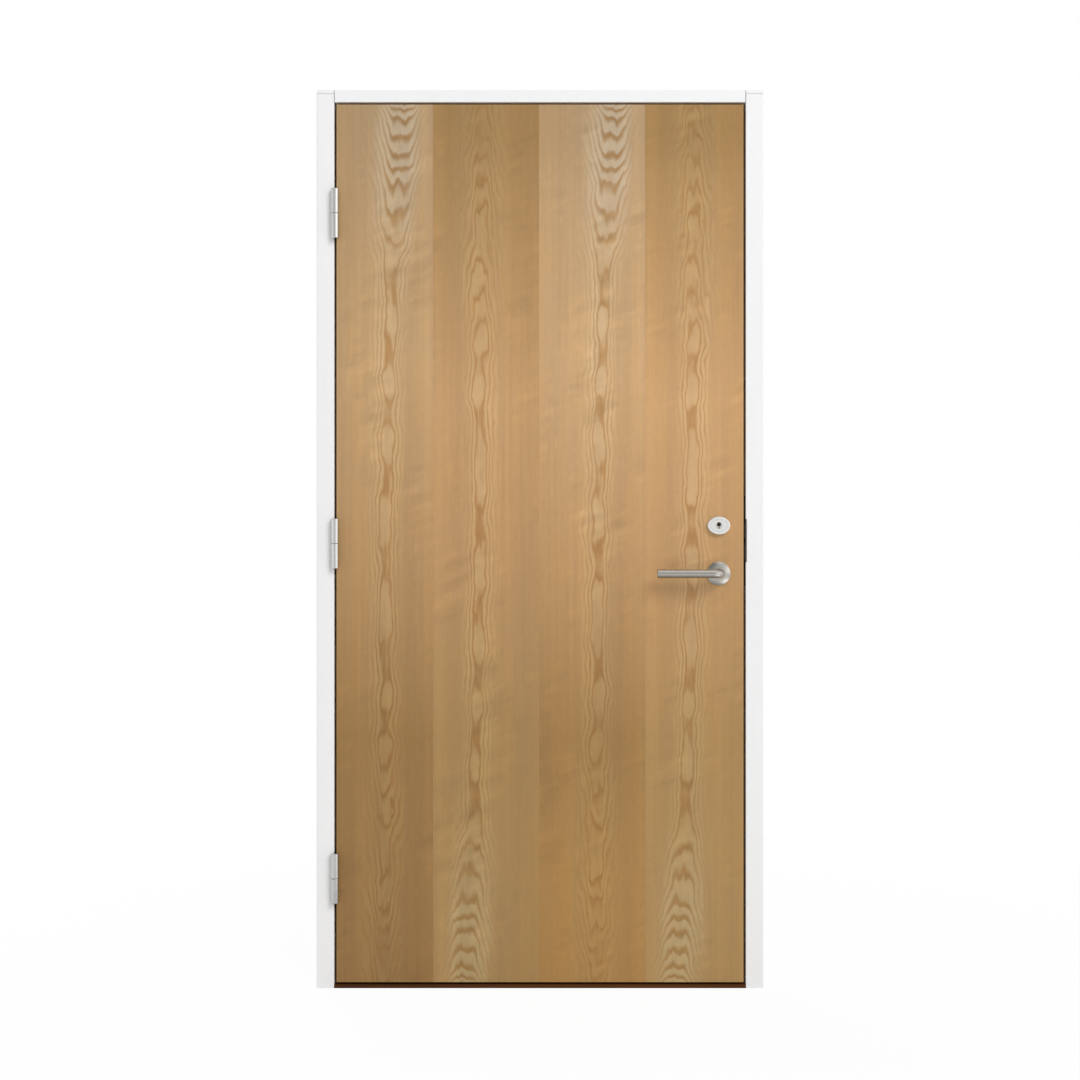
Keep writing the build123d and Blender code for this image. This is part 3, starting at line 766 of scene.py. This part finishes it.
# %% Make the plugs and their pins
slot = keyway(1.2, 3.4, 0.45, 2.0)
plug_rings = [
    (circle(7.2), -24.8),
    (circle(7.45), -24.5),
    (circle(7.45), -0.4),
    (circle(7.1), 0.0),
    (circle(4.9, 2.2), 0.0),
    (circle(4.5, 2.2), -0.5),
    (circle(3.8, 2.0), -3.0),
    (slot, -3.0),
    (slot, -20.0),
]
pin_rings = [(circle(2.0), -1.0), (circle(2.0), 0.02), (circle(1.6), 0.12)]
plug = stacked(plug_rings, 48)
pin = stacked(pin_rings, 24)
plug_x = (plug_low.x + plug_high.x) / 2
plug_z = (plug_low.z + plug_high.z) / 2
pin_below_middle = 5.0 * MM
for end, sign in (("front", -1), ("back", 1)):
    face = leaf_middle_y + sign * plug_reach
    plug_spot = [((plug_x, face, plug_z), (0, sign, 0))]
    pin_spot = [((plug_x, face, plug_z - pin_below_middle), (0, sign, 0))]
    plug_piece = set_copies(f"{end}_plug_with_keyway", plug, plug_spot, plug_metal, f"{end}_plug")
    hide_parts(f"{end}_key_plug")
    set_copies(f"{end}_plug_pin", pin, pin_spot, shaded_steel, f"{end}_plug")

# %% [markdown]
# ## The studio
# The door stands on a white floor before a white background, in soft light from the upper right. The background has
# to be white without flooding the door with light, so the world is at full strength only for rays that come straight
# from the camera, and weaker where it lights wood and paint.
#
# Steel is a mirror, and in an evenly white room a mirror looks flat. Dark curtains and white boards could stand
# around the door, but they would also stop its light. Here the world itself is darker or brighter in some directions,
# and only for rays that were mirrored: darker in front of the door and at its upper left, brighter at both sides and
# above.

# %% Light the world
world = bpy.data.worlds.new("studio")
bpy.context.scene.world = world
studio = Recipe(world)
seen, mirrored, through = studio.rays()
direction = studio.node("ShaderNodeTexCoord", out="Generated")


def towards(x, y, z):
    """How near a ray's direction comes to a given one: 1 when they agree."""
    aim = Vector((x, y, z)).normalized()
    return studio.node("ShaderNodeVectorMath", {"operation": "DOT_PRODUCT"}, {0: direction, 1: aim}, out="Value")


dim_corner = towards(-0.5, -0.55, 0.67).step(0.70, 0.97)
dim_front = towards(0.0, -1.0, 0.0).step(0.90, 0.995)
bright_side = towards(0.85, -0.5, 0.05).step(0.80, 0.98)
bright_left = towards(-0.75, -0.65, -0.05).step(0.92, 0.99)
bright_above = towards(0.1, -0.36, 0.93).step(0.88, 0.99)
bright_parts = 1.0 * bright_side + 0.8 * bright_left + 0.6 * bright_above
mirror_light = 1 - 0.68 * dim_corner - 0.34 * dim_front + bright_parts
fill_light = 0.55
open_background = seen.math("MAXIMUM", through)
world_strength = fill_light + (1 - fill_light) * open_background + (mirror_light - fill_light) * mirrored
background = studio.node("ShaderNodeBackground", inputs={"Color": (1, 1, 1, 1), "Strength": world_strength})
studio.finish(background, "ShaderNodeOutputWorld")

# %% [markdown]
# Two square lamps do the rest. The larger a lamp looks from the door, the softer its shadows, so the key lamp is
# several metres wide. The other one stands behind the door, so that a view from there isn't left in the shade. Neither
# is mirrored in the steel, where its square outline would give it away.


# %% Hang the lamps
def soft_lamp(name, azimuth, elevation, distance, size, power):
    """A square lamp aimed at the middle of the door; azimuth 0 is in front and turns to the right."""
    lamp = bpy.data.lights.new(name, "AREA")
    lamp.size = size
    lamp.energy = power
    lamp_object = bpy.data.objects.new(name, lamp)
    bpy.context.scene.collection.objects.link(lamp_object)
    turn_angle, rise = radians(azimuth), radians(elevation)
    away = Vector((sin(turn_angle) * cos(rise), -cos(turn_angle) * cos(rise), sin(rise)))
    lamp_object.location = Vector((0, 0, leaf_middle_z)) + away * distance
    lamp_object.rotation_euler = away.to_track_quat("Z", "Y").to_euler()
    lamp_object.visible_glossy = False
    print(name, power, "W")


soft_lamp("key_lamp", azimuth=27, elevation=31, distance=10.0, size=4.6, power=446)
soft_lamp("back_lamp", azimuth=205, elevation=28, distance=4.6, size=2.4, power=95)

# %% [markdown]
# A matt white floor would come out grey beside the background, and one that only glows would take no shadow. So the
# floor does both: the glow hides nearly all of the matt surface from the camera, and a little less of it near the
# door. In the steel the floor is brighter at one spot to the right and darker near the door.

# %% Lay the floor
floor_half_width = 40.0
floor_mesh = bpy.data.meshes.new("floor")
floor_shape = bmesh.new()
bmesh.ops.create_grid(floor_shape, x_segments=1, y_segments=1, size=floor_half_width)
floor_shape.to_mesh(floor_mesh)
floor_shape.free()
floor = bpy.data.objects.new("floor", floor_mesh)
bpy.context.scene.collection.objects.link(floor)
print("the floor is", 2 * floor_half_width, "m wide")

# %% Let the floor glow
floor_recipe = Recipe(bpy.data.materials.new("white_floor"))
x, y, z = floor_recipe.place()
seen, mirrored, through = floor_recipe.rays()
from_door = (x**2.0 + y**2.0) ** 0.5
bright_floor = seen.math("MAXIMUM", mirrored).math("MAXIMUM", through)
glow_share = bright_floor * (0.955 + 0.045 * from_door.step(0.9, 2.2))
matt = floor_recipe.surface(base_color=colour(238, 238, 238), roughness=0.9)
spot_x, spot_y = 1.5, -1.1
bright_spot = (((x - spot_x) ** 2.0 + (y - spot_y) ** 2.0) ** 0.5).step(1.0, 0.3)
near_door = from_door.step(1.6, 0.5)
strength = 1 + mirrored * (1.5 * bright_spot - 0.55 * near_door)
glow = floor_recipe.node("ShaderNodeEmission", inputs={"Color": (1, 1, 1, 1), "Strength": strength})
floor_mix = floor_recipe.node("ShaderNodeMixShader", inputs={0: glow_share, 1: matt, 2: glow})
floor_mesh.materials.append(floor_recipe.finish(floor_mix))
